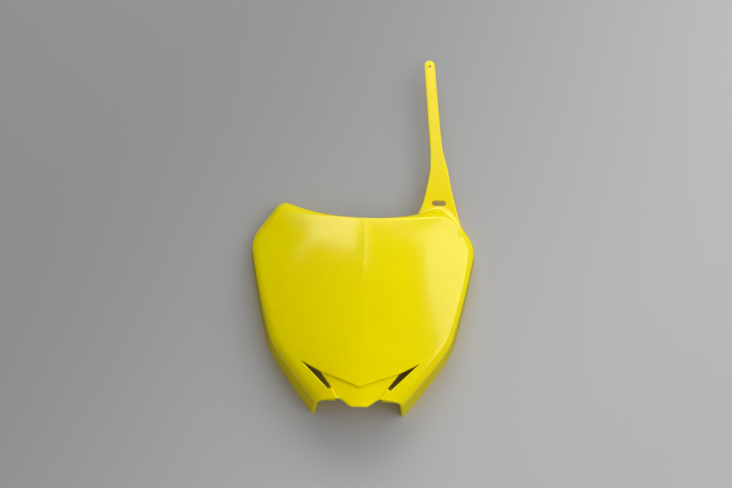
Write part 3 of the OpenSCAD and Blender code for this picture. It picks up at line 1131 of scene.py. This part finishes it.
@dataclass
class Lug:
    """A mounting lug behind the face: a plate with a hole, hung on a web at its inner end."""

    form: PlateForm
    cut: LowerCut
    spacing: float = 60.0
    width: float = 15.0
    length: float = 14.0
    t: float = 2.4
    drop: float = 13.0
    hole_d: float = 5.5
    hole_sides: int = 40
    inside: float = 3.0
    seat: float = 0.2
    web_in: float = 0.1
    web_up: float = 0.5
    edge_round: float = 0.45
    round_steps: int = 3

    def block(self, low: Point, size: Point) -> bpy.types.Object:
        """Adds a block with rounded edges by its lowest corner and its size."""
        centre = self.form.to_frame([low[k] + size[k] / 2 for k in range(3)])
        bpy.ops.object.select_all(action="DESELECT")
        bpy.ops.mesh.primitive_cube_add(size=1, location=centre, scale=[c * MM for c in size])
        bpy.ops.object.transform_apply(location=True, rotation=True, scale=True)
        bpy.ops.object.mode_set(mode="EDIT")
        bpy.ops.mesh.select_all(action="SELECT")
        bpy.ops.mesh.bevel(offset=self.edge_round * MM, segments=self.round_steps, affect="EDGES")
        bpy.ops.object.mode_set(mode="OBJECT")
        return bpy.context.object

    def bore(self, centre: Point) -> bpy.types.Object:
        """Adds the rod that cuts the hole."""
        bpy.ops.object.select_all(action="DESELECT")
        bpy.ops.mesh.primitive_cylinder_add(
            vertices=self.hole_sides, radius=self.hole_d / 2 * MM, depth=4 * self.t * MM,
            location=self.form.to_frame(centre))
        bpy.ops.object.transform_apply(location=True, rotation=True, scale=True)
        return bpy.context.object

    def build(self, side: int) -> bpy.types.Object:
        """Builds the lug on the right for side = 1, or on the left for -1."""
        inner_x = self.spacing / 2 - self.width / 2
        face = self.form.face_z(inner_x + self.t, self.inside)
        z = face - self.cut.step_z - self.seat - self.drop
        plate_x = inner_x if side > 0 else -inner_x - self.width
        web_x = inner_x if side > 0 else -inner_x - self.t
        plate = self.block((plate_x, self.inside, z), (self.width, self.length, self.t))
        plate.name = "lug_right" if side > 0 else "lug_left"
        web = self.block((web_x + self.web_in, self.inside + self.web_in, z + self.web_up),
                         (self.t - 2 * self.web_in, self.length - 2 * self.web_in,
                          self.drop - self.web_up))
        bore = self.bore((side * self.spacing / 2, self.inside + self.length / 2, z))
        combine(plate, web, "UNION")
        combine(plate, bore, "DIFFERENCE")
        return plate


# Finishes

def linear(code: str) -> tuple[float, float, float, float]:
    """Returns an sRGB hex colour as a linear one."""
    parts = [int(code[i:i + 2], 16) / 255 for i in (1, 3, 5)]
    return tuple(c / 12.92 if c <= 0.04045 else ((c + 0.055) / 1.055)**2.4
                 for c in parts) + (1.0,)


def add_node(tree: bpy.types.NodeTree, kind: str, settings: Optional[dict[str, Any]] = None,
             inputs: Optional[dict[Any, Any]] = None,
             links: Optional[dict[Any, Any]] = None) -> bpy.types.Node:
    """Adds one shader node.

    Args:
        tree: The material's node tree.
        kind: The node's type name.
        settings: Attributes to set.
        inputs: Socket values by name or number.
        links: Output sockets to join, by the name or number of this node's input.

    Returns:
        The node.
    """
    node = tree.nodes.new(kind)
    for name, value in (settings or {}).items():
        setattr(node, name, value)
    for name, value in (inputs or {}).items():
        node.inputs[name].default_value = value
    for name, source in (links or {}).items():
        tree.links.new(source, node.inputs[name])
    return node


def blank_material(name: str) -> bpy.types.Material:
    """Returns a new material with an empty node tree."""
    mat = bpy.data.materials.new(name)
    mat.use_nodes = True
    mat.node_tree.nodes.clear()
    return mat


def per_metre(size_mm: float) -> float:
    """Returns the texture scale that gives a pattern of this size in millimetres."""
    return 1 / (size_mm * MM)


@dataclass(frozen=True)
class MouldedPolypropylene:
    """Glossy polypropylene, coloured all through and injection moulded in a polished tool.

    The polish gives sharp but soft-edged reflections. The melt's flow leaves a very faint
    cloudiness in the colour, and the cooling a waviness too low to see except in a reflection.
    Light goes a few millimetres into the plastic and comes out yellow.
    """

    colour: str = "#F5DE00"
    cloud_colour: str = "#F1D800"
    cloud_mm: float = 34.0
    wave_mm: float = 46.0
    wave_rise_mm: float = 0.12
    wave_strength: float = 0.25
    skin_mm: float = 0.9
    skin_rise_mm: float = 0.01
    skin_strength: float = 0.12
    gloss_low: float = 0.11
    gloss_high: float = 0.18
    ior: float = 1.44
    glow: float = 1.0
    glow_mm: float = 4.0
    glow_reach: Point = (1.0, 0.8, 0.05)

    def build(self) -> bpy.types.Material:
        """Returns the material."""
        mat = blank_material(Finish.MOULDING.value)
        tree = mat.node_tree
        place = add_node(tree, "ShaderNodeTexCoord").outputs["Object"]
        cloud = add_node(
            tree, "ShaderNodeTexNoise",
            inputs={"Scale": per_metre(self.cloud_mm), "Detail": 2.0, "Roughness": 0.5},
            links={"Vector": place})
        wave = add_node(
            tree, "ShaderNodeTexNoise",
            inputs={"Scale": per_metre(self.wave_mm), "Detail": 1.0, "Roughness": 0.4},
            links={"Vector": place})
        skin = add_node(
            tree, "ShaderNodeTexNoise",
            inputs={"Scale": per_metre(self.skin_mm), "Detail": 2.0, "Roughness": 0.6},
            links={"Vector": place})
        tint = add_node(
            tree, "ShaderNodeMix", {"data_type": "RGBA"},
            {6: linear(self.colour), 7: linear(self.cloud_colour)}, {0: cloud.outputs[0]})
        gloss = add_node(
            tree, "ShaderNodeMapRange",
            inputs={"To Min": self.gloss_low, "To Max": self.gloss_high},
            links={"Value": skin.outputs[0]})
        wavy = add_node(
            tree, "ShaderNodeBump",
            inputs={"Strength": self.wave_strength, "Distance": self.wave_rise_mm * MM},
            links={"Height": wave.outputs[0]})
        fine = add_node(
            tree, "ShaderNodeBump",
            inputs={"Strength": self.skin_strength, "Distance": self.skin_rise_mm * MM},
            links={"Height": skin.outputs[0], "Normal": wavy.outputs[0]})
        body = add_node(
            tree, "ShaderNodeBsdfPrincipled",
            inputs={"IOR": self.ior, "Subsurface Weight": self.glow,
                    "Subsurface Scale": self.glow_mm * MM, "Subsurface Radius": self.glow_reach},
            links={"Base Color": tint.outputs[2], "Roughness": gloss.outputs[0],
                   "Normal": fine.outputs[0]})
        add_node(tree, "ShaderNodeOutputMaterial", links={"Surface": body.outputs[0]})
        return mat


@dataclass(frozen=True)
class StudioPaper:
    """Matt backdrop paper: grey, painted darker to one side as shade for light fall-off; a tooth
    too fine to see.

    Where the board covers it closely, a warm yellow is painted into it: painted light for the
    light that the yellow moulding lets through. In the board's gloss it shows dimmer than to the
    camera.
    """

    colour: str = "#B4B3B4"
    # Painted shade: the darker grey toward one side stands in for the light falling off across the
    # floor.
    painted_shade_colour: str = "#929292"
    painted_shade_span_mm: float = 620.0
    painted_shade_turn: float = 35.0
    cloud_mm: float = 700.0
    cloud_shift_m: float = 0.06
    tooth_mm: float = 1.5
    tooth_rise_mm: float = 0.1
    tooth_strength: float = 0.05
    roughness: float = 0.9
    sheen: float = 0.2
    mirror_dim: float = 0.75
    # Painted light: a warm yellow painted in where the board covers the paper, for the light the
    # moulding lets through.
    painted_light_colour: str = "#D0B238"
    painted_light_reach_mm: float = 60.0
    cover_full: float = 0.2
    cover_none: float = 0.68

    def tint(self, tree: bpy.types.NodeTree, place: bpy.types.NodeSocket) -> bpy.types.Node:
        """Adds the nodes of the paper's grey, painted darker toward one side as shade for the
        light's fall-off.

        Args:
            tree: The material's node tree.
            place: The socket that gives the place on the paper.

        Returns:
            The node whose third output is the colour.
        """
        cloud = add_node(
            tree, "ShaderNodeTexNoise",
            inputs={"Scale": per_metre(self.cloud_mm), "Detail": 1.0}, links={"Vector": place})
        turn = add_node(
            tree, "ShaderNodeMapping",
            inputs={"Rotation": (0.0, 0.0, math.radians(self.painted_shade_turn))},
            links={"Vector": place})
        across = add_node(tree, "ShaderNodeSeparateXYZ", links={0: turn.outputs[0]})
        uneven = add_node(
            tree, "ShaderNodeMath", {"operation": "MULTIPLY_ADD"},
            {1: self.cloud_shift_m, 2: -self.cloud_shift_m / 2}, {0: cloud.outputs[0]})
        shifted = add_node(
            tree, "ShaderNodeMath", {"operation": "ADD"},
            links={0: across.outputs[0], 1: uneven.outputs[0]})
        # Painted shade: the grey darkens toward one side across this span, made uneven by the
        # cloud.
        half = self.painted_shade_span_mm * MM / 2
        fade = add_node(
            tree, "ShaderNodeMapRange", {"interpolation_type": "SMOOTHSTEP"},
            {"From Min": -half, "From Max": half}, {"Value": shifted.outputs[0]})
        return add_node(
            tree, "ShaderNodeMix", {"data_type": "RGBA"},
            {6: linear(self.painted_shade_colour), 7: linear(self.colour)}, {0: fade.outputs[0]})

    def build(self) -> bpy.types.Material:
        """Returns the material."""
        mat = blank_material(Finish.FLOOR.value)
        tree = mat.node_tree
        place = add_node(tree, "ShaderNodeTexCoord").outputs["Object"]
        # Painted light: the more closely the board covers the paper, the more of the warm yellow
        # is painted in.
        cover = add_node(
            tree, "ShaderNodeAmbientOcclusion", {"samples": 8},
            {"Distance": self.painted_light_reach_mm * MM})
        painted_light_share = add_node(
            tree, "ShaderNodeMapRange", None,
            {"From Min": self.cover_full, "From Max": self.cover_none,
             "To Min": 1.0, "To Max": 0.0},
            {"Value": cover.outputs["AO"]})
        painted_light = add_node(
            tree, "ShaderNodeMix", {"data_type": "RGBA"}, {7: linear(self.painted_light_colour)},
            {0: painted_light_share.outputs[0], 6: self.tint(tree, place).outputs[2]})
        ray = add_node(tree, "ShaderNodeLightPath").outputs["Is Glossy Ray"]
        dim = add_node(
            tree, "ShaderNodeMath", {"operation": "MULTIPLY"}, {1: self.mirror_dim}, {0: ray})
        seen = add_node(
            tree, "ShaderNodeMix", {"data_type": "RGBA"}, {7: (0.0, 0.0, 0.0, 1.0)},
            {0: dim.outputs[0], 6: painted_light.outputs[2]})
        tooth = add_node(
            tree, "ShaderNodeTexNoise",
            inputs={"Scale": per_metre(self.tooth_mm), "Detail": 2.0}, links={"Vector": place})
        bump = add_node(
            tree, "ShaderNodeBump",
            inputs={"Strength": self.tooth_strength, "Distance": self.tooth_rise_mm * MM},
            links={"Height": tooth.outputs[0]})
        body = add_node(
            tree, "ShaderNodeBsdfPrincipled",
            inputs={"Roughness": self.roughness, "Specular IOR Level": self.sheen},
            links={"Base Color": seen.outputs[2], "Normal": bump.outputs[0]})
        add_node(tree, "ShaderNodeOutputMaterial", links={"Surface": body.outputs[0]})
        return mat


@dataclass(frozen=True)
class SoftboxCloth:
    """Woven diffuser cloth, lit evenly from behind: it glows, and is dimmer at its near edge."""

    level: float
    near_y: float
    full_y: float
    edge_share: float = 0.45

    def build(self, name: str) -> bpy.types.Material:
        """Returns the material for the panel of this name."""
        mat = blank_material(f"{Finish.SOFTBOX.value}_{name}")
        tree = mat.node_tree
        place = add_node(tree, "ShaderNodeTexCoord").outputs["Object"]
        height = add_node(tree, "ShaderNodeSeparateXYZ", links={0: place}).outputs[1]
        cloth = add_node(
            tree, "ShaderNodeMapRange", {"interpolation_type": "SMOOTHSTEP"},
            {"From Min": self.near_y, "From Max": self.full_y,
             "To Min": self.edge_share * self.level, "To Max": self.level},
            {"Value": height})
        glow = add_node(tree, "ShaderNodeEmission", links={"Strength": cloth.outputs[0]})
        add_node(tree, "ShaderNodeOutputMaterial", links={"Surface": glow.outputs[0]})
        return mat


@dataclass
class NumberBoard:
    """The whole moulding as one dressed piece."""

    form: PlateForm = field(default_factory=PlateForm)
    cut: LowerCut = field(default_factory=LowerCut)
    rim_round: float = 0.5
    rim_steps: int = 3
    weld: float = 0.01
    smooth_angle: float = 40.0

    def clean(self, board: bpy.types.Object) -> None:
        """Merges the joined mesh's doubles and deletes what is loose."""
        pick_only(board)
        bpy.ops.object.mode_set(mode="EDIT")
        bpy.ops.mesh.select_all(action="SELECT")
        bpy.ops.mesh.remove_doubles(threshold=self.weld * MM)
        bpy.ops.mesh.delete_loose()
        bpy.ops.object.mode_set(mode="OBJECT")

    def dress(self, board: bpy.types.Object) -> None:
        """Names the piece, gives it its finish and its shading, and ties it to the frame."""
        board.name = "number_board_moulding"
        board.data.materials.clear()
        board.data.materials.append(MouldedPolypropylene().build())
        pick_only(board)
        bpy.ops.object.shade_smooth_by_angle(angle=math.radians(self.smooth_angle))
        weigh = board.modifiers.new("weighted", "WEIGHTED_NORMAL")
        weigh.mode = "FACE_AREA"
        weigh.keep_sharp = True
        bpy.ops.object.modifier_apply(modifier="weighted")
        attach(board, BODY)
        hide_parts(NODE)

    def build(self) -> bpy.types.Object:
        """Builds every part of the moulding, joins them and dresses the piece."""
        sheet = Shell(self.form, self.cut).sheet()
        board = sheet.build()
        sheet.round_border(board, self.rim_round, self.rim_steps, lambda p: not self.cut.near(p))
        tongue = Tongue(self.form, self.cut).sheet().build()
        strap = Strap(self.form, EdgeRibs(self.form)).sheet(sheet.tree()).build()
        lugs = [Lug(self.form, self.cut).build(side) for side in (1, -1)]
        for part in (strap, tongue, *lugs):
            combine(board, part, "UNION")
        self.clean(board)
        self.dress(board)
        return board


@dataclass
class Studio:
    """Floor, softboxes, fill light and camera, placed from the photograph."""

    form: PlateForm
    pitch: float = 27.0
    yaw: float = -0.74
    roll: float = -1.66
    aim: Point = (0.0, 150.0, 20.0)
    distance: float = 1600.0
    slide_x: float = -3.404
    slide_y: float = -25.841
    lens_mm: float = 77.18
    sensor_mm: float = 36.0
    clip_m: float = 50.0
    floor_m: float = 9.0
    box_height: float = 1500.0
    room_level: float = 0.42

    def view_axes(self) -> tuple[Vector, Vector, Vector]:
        """Returns the camera's right, up and backward directions."""
        th, ps, ro = (math.radians(a) for a in (self.pitch, self.yaw, self.roll))
        back = Vector((math.sin(ps), -math.sin(th) * math.cos(ps), math.cos(th) * math.cos(ps)))
        up = Vector((0, 1, 0)) - back * back.y
        up.normalize()
        right = up.cross(back)
        return (right * math.cos(ro) - up * math.sin(ro),
                up * math.cos(ro) + right * math.sin(ro), back)

    def camera(self) -> None:
        """Adds the camera and makes it the scene's own."""
        right, up, back = self.view_axes()
        place = Vector(self.aim) + back * self.distance - right * self.slide_x - up * self.slide_y
        data = bpy.data.cameras.new("photo_camera")
        data.sensor_fit = "HORIZONTAL"
        data.sensor_width = self.sensor_mm
        data.lens = self.lens_mm
        data.clip_end = self.clip_m
        cam = bpy.data.objects.new("photo_camera", data)
        bpy.context.collection.objects.link(cam)
        turn = Matrix((right, up, back)).transposed().to_4x4()
        cam.matrix_world = Matrix.Translation(self.form.to_frame(place)) @ turn
        bpy.context.scene.camera = cam

    def floor(self) -> None:
        """Adds the paper floor."""
        bpy.ops.object.select_all(action="DESELECT")
        bpy.ops.mesh.primitive_plane_add(size=self.floor_m, location=(0, 0, 0))
        floor = bpy.context.object
        floor.name = "paper_floor"
        floor.data.materials.append(StudioPaper().build())

    def softbox(self, name: str, corners: Sequence[Plan], edge_y: float, full_y: float,
                level: float) -> None:
        """Adds a lit cloth panel overhead, seen only in reflections.

        Args:
            name: The panel's name.
            corners: Its corners in plan, at the panels' height.
            edge_y: Height in plan where the cloth is at its dimmest.
            full_y: Height in plan where it has its full level.
            level: The full level.
        """
        points = [self.form.to_frame((x, y, self.box_height)) for x, y in corners]
        mesh = bpy.data.meshes.new(name)
        mesh.from_pydata(points, [], [tuple(range(len(points)))])
        panel = bpy.data.objects.new(name, mesh)
        bpy.context.collection.objects.link(panel)
        near, full = (self.form.to_frame((0, y, 0)).y for y in (edge_y, full_y))
        panel.data.materials.append(SoftboxCloth(level, near, full).build(name))
        panel.visible_camera = False

    def fill(self, name: str, place: Point, size: float, watts: float) -> None:
        """Adds a large soft light that is aimed at the board and leaves no reflection.

        Args:
            name: The light's name.
            place: Its place in metres.
            size: Its width in metres.
            watts: Its power.
        """
        data = bpy.data.lights.new(name, "AREA")
        data.shape = "DISK"
        data.size = size
        data.energy = watts
        light = bpy.data.objects.new(name, data)
        bpy.context.collection.objects.link(light)
        light.location = place
        light.rotation_euler = (-Vector(place)).to_track_quat("-Z", "Y").to_euler()
        light.visible_glossy = False
        light.visible_camera = False

    def world(self) -> None:
        """Gives the room its even light, which leaves no reflection."""
        world = bpy.data.worlds.new("studio_room")
        bpy.context.scene.world = world
        world.cycles_visibility.glossy = False
        world.use_nodes = True
        tree = world.node_tree
        tree.nodes.clear()
        sky = add_node(tree, "ShaderNodeBackground", inputs={"Strength": self.room_level})
        add_node(tree, "ShaderNodeOutputWorld", links={"Surface": sky.outputs[0]})

    def build(self) -> None:
        """Builds the studio."""
        bpy.context.scene.view_settings.view_transform = "Standard"
        self.camera()
        self.floor()
        self.world()
        left = [(-235, 1260), (-235, 2900), (-1000, 2900), (-1000, 1850), (-1020, 1650),
                (-1110, 1540), (-1210, 1470), (-1200, 1400), (-1130, 1440), (-1000, 1585),
                (-820, 1580), (-560, 1430)]
        far = [(118, 1100), (205, 1100), (205, 1780), (1170, 1780), (1170, 2900), (-235, 2900),
               (-235, 1780), (118, 1780)]
        right = [(1170, 1000), (2600, -240), (4200, 900), (4200, 3200), (1170, 3200)]
        self.softbox("softbox_left", left, 1120, 1650, 3.9)
        self.softbox("softbox_far", far, 1000, 1500, 4.0)
        self.softbox("softbox_right", right, -240, 1500, 2.9)
        self.fill("right_fill", (2.2, -0.6, 2.2), 2.8, 33.0)
        self.fill("top_fill", (-0.2, 2.2, 1.7), 2.0, 26.0)
        self.fill("front_fill", (0.2, -1.5, 1.6), 1.4, 6.5)


def main() -> None:
    """Builds the board and the studio, and reports each piece."""
    logging.basicConfig(level=logging.INFO, format="%(message)s")
    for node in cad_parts.values():
        node.select_set(False)
    board = NumberBoard().build()
    LOG.info("%s: %d faces", board.name, len(board.data.polygons))
    Studio(PlateForm()).build()


if __name__ == "__main__":
    main()
